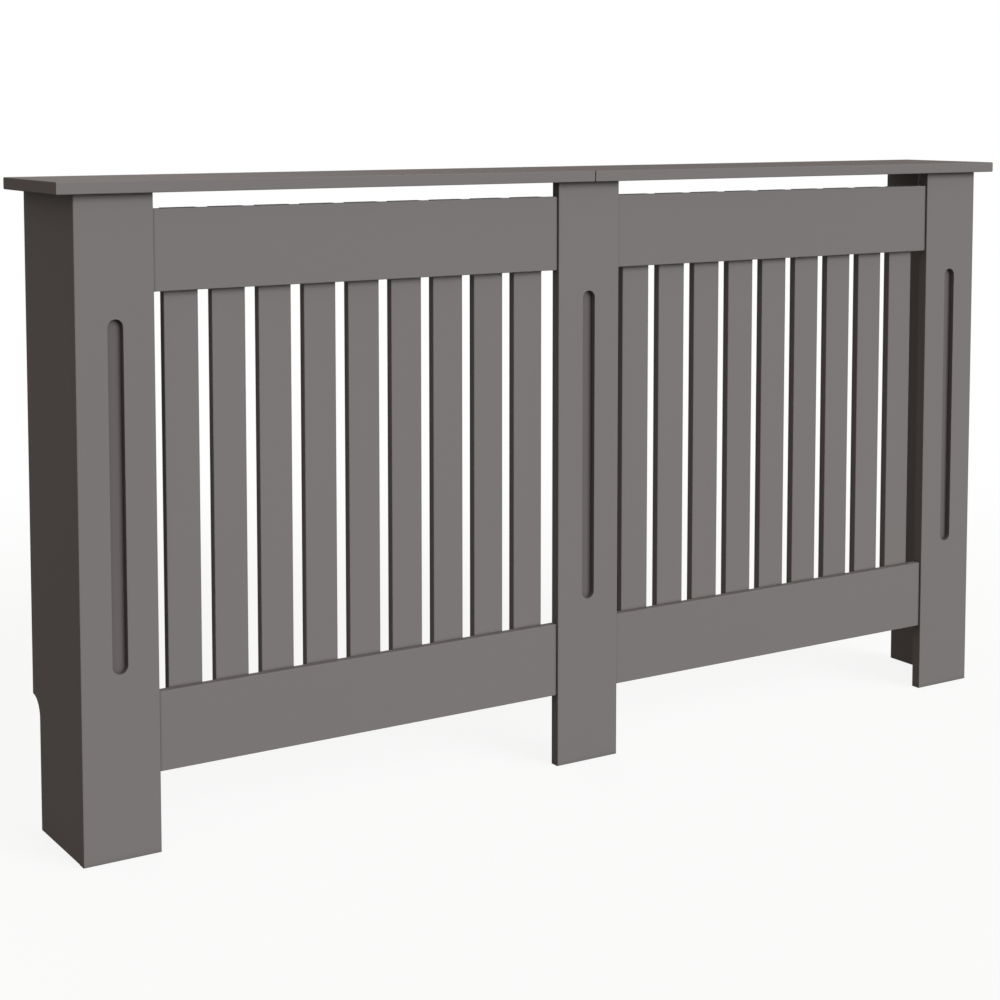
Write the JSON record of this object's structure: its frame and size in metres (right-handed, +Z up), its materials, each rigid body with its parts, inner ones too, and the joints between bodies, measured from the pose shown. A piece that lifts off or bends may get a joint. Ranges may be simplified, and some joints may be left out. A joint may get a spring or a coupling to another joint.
{
  "type": "radiator cover cabinet",
  "caption": "Slatted radiator cover in painted board, with fluted posts, a two-piece shelf, an open back and side panels notched for a skirting board.",
  "frame": {"origin": "on the floor, below the middle of the shelf's outline (bottom centre of the bounding box)", "axes": "+Z up, -Y towards the room (the slatted front), +Y towards the wall, +X to the right as seen from the room"},
  "size_m": [1.52, 0.19, 0.825],
  "materials": {
    "painted_board": "satin warm grey paint on fibreboard",
    "zinc_plated_steel": "bright zinc plating",
    "beech_dowel": "bare beech"
  },
  "bodies": {
    "root": {"shelf_left": "painted_board", "shelf_right": "painted_board", "post_left": "painted_board", "post_centre": "painted_board", "post_right": "painted_board", "side_panel_left": "painted_board", "side_panel_right": "painted_board", "top_rail_left": "painted_board", "top_rail_right": "painted_board", "bottom_rail_left": "painted_board", "bottom_rail_right": "painted_board", "slat_left_1": "painted_board", "slat_left_2": "painted_board", "slat_left_3": "painted_board", "slat_left_4": "painted_board", "slat_left_5": "painted_board", "slat_left_6": "painted_board", "slat_left_7": "painted_board", "slat_left_8": "painted_board", "slat_left_9": "painted_board", "slat_right_1": "painted_board", "slat_right_2": "painted_board", "slat_right_3": "painted_board", "slat_right_4": "painted_board", "slat_right_5": "painted_board", "slat_right_6": "painted_board", "slat_right_7": "painted_board", "slat_right_8": "painted_board", "slat_right_9": "painted_board", "cam_left_bottom_a": "zinc_plated_steel", "cam_left_bottom_b": "zinc_plated_steel", "cam_left_top_a": "zinc_plated_steel", "cam_left_top_b": "zinc_plated_steel", "cam_right_bottom_a": "zinc_plated_steel", "cam_right_bottom_b": "zinc_plated_steel", "cam_right_top_a": "zinc_plated_steel", "cam_right_top_b": "zinc_plated_steel", "cam_bolt_left_bottom_a": "zinc_plated_steel", "cam_bolt_left_bottom_b": "zinc_plated_steel", "cam_bolt_left_top_a": "zinc_plated_steel", "cam_bolt_left_top_b": "zinc_plated_steel", "cam_bolt_right_bottom_a": "zinc_plated_steel", "cam_bolt_right_bottom_b": "zinc_plated_steel", "cam_bolt_right_top_a": "zinc_plated_steel", "cam_bolt_right_top_b": "zinc_plated_steel", "dowel_left_bottom_a": "beech_dowel", "dowel_left_bottom_b": "beech_dowel", "dowel_left_top_a": "beech_dowel", "dowel_left_top_b": "beech_dowel", "dowel_right_bottom_a": "beech_dowel", "dowel_right_bottom_b": "beech_dowel", "dowel_right_top_a": "beech_dowel", "dowel_right_top_b": "beech_dowel", "shelf_bracket_left": "zinc_plated_steel", "shelf_bracket_right": "zinc_plated_steel", "wall_bracket_left": "zinc_plated_steel", "wall_bracket_right": "zinc_plated_steel", "seam_bracket_left": "zinc_plated_steel", "seam_bracket_right": "zinc_plated_steel", "seam_plate": "zinc_plated_steel"}
  },
  "joints": []
}
